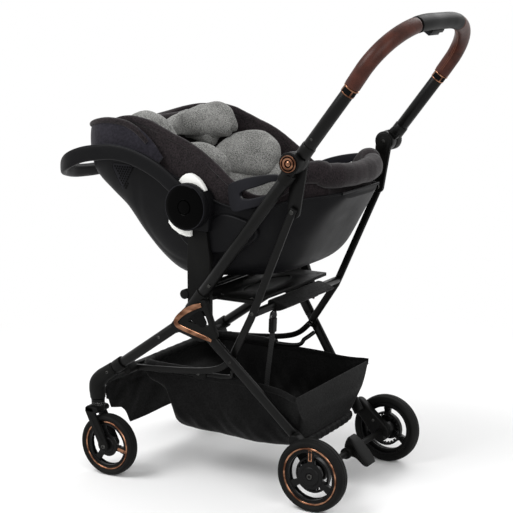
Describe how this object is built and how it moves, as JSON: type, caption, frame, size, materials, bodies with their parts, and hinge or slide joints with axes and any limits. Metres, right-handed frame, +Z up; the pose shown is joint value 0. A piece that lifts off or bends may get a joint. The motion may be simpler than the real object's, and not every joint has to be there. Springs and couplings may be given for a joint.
{
  "type": "travel system stroller",
  "caption": "Folding four-wheel pushchair frame with bow handle, swivel front wheels and basket, carrying a removable infant car seat on adaptors.",
  "frame": {"origin": "middle of the box's length and width, on the floor under the tyres", "axes": "+Z up, +X towards the person pushing, +Y to the person's right; -X is the way the stroller travels"},
  "size_m": [0.8818, 0.489, 1.0291],
  "materials": {
    "frame_tube": "satin black powder coat",
    "frame_plastic": "satin black",
    "rim_plastic": "satin black with copper-coloured trim",
    "tread": "matt foam rubber",
    "grip_cover": "brown imitation leather",
    "shell_plastic": "fine grained black",
    "grey_plastic": "fine grained dark grey",
    "cover_fabric": "charcoal heather weave",
    "insert_fabric": "light grey melange jersey",
    "canopy_fabric": "dark slate plain weave",
    "basket_fabric": "black coated polyester",
    "webbing": "black webbing",
    "buckle_red": "smooth"
  },
  "bodies": {
    "chassis": {"main_tube_left": "frame_tube", "main_tube_right": "frame_tube", "hinge_housing_left": "frame_plastic", "hinge_housing_right": "frame_plastic", "leg_joint_left": "frame_plastic", "leg_joint_right": "frame_plastic", "front_leg_left": "frame_tube", "front_leg_right": "frame_tube", "front_elbow_left": "frame_plastic", "front_elbow_right": "frame_plastic", "adaptor_post_left": "frame_plastic", "adaptor_post_right": "frame_plastic", "front_cross_bar": "frame_tube", "front_apron": "basket_fabric", "seat_front_tube": "frame_tube", "seat_platform": "frame_plastic"},
    "handle": {"push_handle": "frame_tube", "grip_left": "grip_cover", "grip_right": "grip_cover", "grip_housing": "frame_plastic"},
    "trigger": {"fold_trigger": "frame_plastic"},
    "struts": {"strut_left": "frame_tube", "strut_right": "frame_tube", "seat_cross_tube": "frame_tube", "seat_sling": "basket_fabric", "basket_strap": "webbing"},
    "rear_legs": {"rear_leg_left": "frame_tube", "rear_leg_right": "frame_tube", "rear_axle": "frame_plastic", "basket": "basket_fabric", "basket_front_tube": "frame_tube"},
    "brake": {"brake_pedal": "frame_plastic"},
    "rear_wheel_left": {"rear_rim_left": "rim_plastic", "rear_tyre_left": "tread"},
    "rear_wheel_right": {"rear_rim_right": "rim_plastic", "rear_tyre_right": "tread"},
    "caster_left": {"caster_fork_left": "frame_plastic"},
    "caster_right": {"caster_fork_right": "frame_plastic"},
    "front_wheel_left": {"front_rim_left": "rim_plastic", "front_tyre_left": "tread"},
    "front_wheel_right": {"front_rim_right": "rim_plastic", "front_tyre_right": "tread"},
    "sliders": {"stay_slider_left": "frame_plastic", "stay_slider_right": "frame_plastic"},
    "stays": {"stay_link_left": "frame_tube", "stay_link_right": "frame_tube"},
    "car_seat": {"seat_shell": "shell_plastic", "seat_cover": "cover_fabric", "seat_pad": "insert_fabric", "head_support": "insert_fabric", "harness_straps": "webbing", "harness_buckle": "frame_plastic", "belt_guide_left": "grey_plastic", "belt_guide_right": "grey_plastic"},
    "carry": {"carry_handle": "shell_plastic"},
    "release_left": {"handle_button_left": "grey_plastic"},
    "release_right": {"handle_button_right": "grey_plastic"},
    "hood": {"canopy": "canopy_fabric"},
    "buckle_release": {"buckle_button": "buckle_red"}
  },
  "joints": [
    {"name": "handle_fold", "type": "hinge", "parent": "chassis", "child": "handle", "pos_m": [0.21522, 0, 0.738], "axis": [0, 1, 0], "range_deg": [-40, 0]},
    {"name": "fold_trigger_slide", "type": "slide", "parent": "handle", "child": "trigger", "axis": [0.5736, 0, 0.8192], "range_m": [0, 0.004], "stiffness_N_per_m": 400},
    {"name": "strut_swing", "type": "hinge", "parent": "handle", "child": "struts", "pos_m": [0.20252, 0, 0.6344], "axis": [0, 1, 0], "range_deg": [0, 48.5]},
    {"name": "rear_leg_fold", "type": "hinge", "parent": "chassis", "child": "rear_legs", "pos_m": [-0.00168, 0, 0.36], "axis": [0, 1, 0], "range_deg": [-36, 0]},
    {"name": "slider_run", "type": "slide", "parent": "chassis", "child": "sliders", "axis": [0.8183, 0, 0.5748], "range_m": [0, 0.0375]},
    {"name": "stay_swing", "type": "hinge", "parent": "sliders", "child": "stays", "pos_m": [-0.21192, 0, 0.24405], "axis": [0, 1, 0], "range_deg": [-4, 0]},
    {"name": "brake_press", "type": "hinge", "parent": "rear_legs", "child": "brake", "pos_m": [0.24182, 0, 0.0782], "axis": [0, 1, 0], "range_deg": [0, 18]},
    {"name": "rear_wheel_spin_left", "type": "hinge", "parent": "rear_legs", "child": "rear_wheel_left", "pos_m": [0.24182, -0.1814, 0.0782], "axis": [0, 1, 0], "continuous": true},
    {"name": "rear_wheel_spin_right", "type": "hinge", "parent": "rear_legs", "child": "rear_wheel_right", "pos_m": [0.24182, 0.1814, 0.0782], "axis": [0, 1, 0], "continuous": true},
    {"name": "caster_swivel_left", "type": "hinge", "parent": "chassis", "child": "caster_left", "pos_m": [-0.28418, -0.2165, 0.173], "axis": [0, 0, 1], "continuous": true},
    {"name": "caster_swivel_right", "type": "hinge", "parent": "chassis", "child": "caster_right", "pos_m": [-0.28418, 0.2165, 0.173], "axis": [0, 0, 1], "continuous": true},
    {"name": "front_wheel_spin_left", "type": "hinge", "parent": "caster_left", "child": "front_wheel_left", "pos_m": [-0.25518, -0.2165, 0.0701], "axis": [0, 1, 0], "continuous": true},
    {"name": "front_wheel_spin_right", "type": "hinge", "parent": "caster_right", "child": "front_wheel_right", "pos_m": [-0.25518, 0.2165, 0.0701], "axis": [0, 1, 0], "continuous": true},
    {"name": "car_seat_lift", "type": "slide", "parent": "chassis", "child": "car_seat", "axis": [0, 0, 1], "range_m": [0, 0.25]},
    {"name": "carry_swing", "type": "hinge", "parent": "car_seat", "child": "carry", "pos_m": [-0.03818, 0, 0.628], "axis": [0, 1, 0], "range_deg": [0, 90]},
    {"name": "release_press_left", "type": "slide", "parent": "carry", "child": "release_left", "axis": [0, 1, 0], "range_m": [0, 0.003], "stiffness_N_per_m": 500},
    {"name": "release_press_right", "type": "slide", "parent": "carry", "child": "release_right", "axis": [0, -1, 0], "range_m": [0, 0.003], "stiffness_N_per_m": 500},
    {"name": "canopy_swing", "type": "hinge", "parent": "car_seat", "child": "hood", "pos_m": [-0.12918, 0, 0.7095], "axis": [0, 1, 0], "range_deg": [0, 60]},
    {"name": "buckle_press", "type": "slide", "parent": "car_seat", "child": "buckle_release", "axis": [0, 0, -1], "range_m": [0, 0.003], "stiffness_N_per_m": 500}
  ],
  "couplings": [
    {"joint": "strut_swing", "follows": "handle_fold", "ratio": -1.2},
    {"joint": "rear_leg_fold", "follows": "handle_fold", "ratio": 0.89},
    {"joint": "slider_run", "follows": "handle_fold", "m_per_rad": -0.053},
    {"joint": "stay_swing", "follows": "handle_fold", "ratio": 0.09},
    {"joint": "release_press_right", "follows": "release_press_left", "ratio": 1}
  ]
}
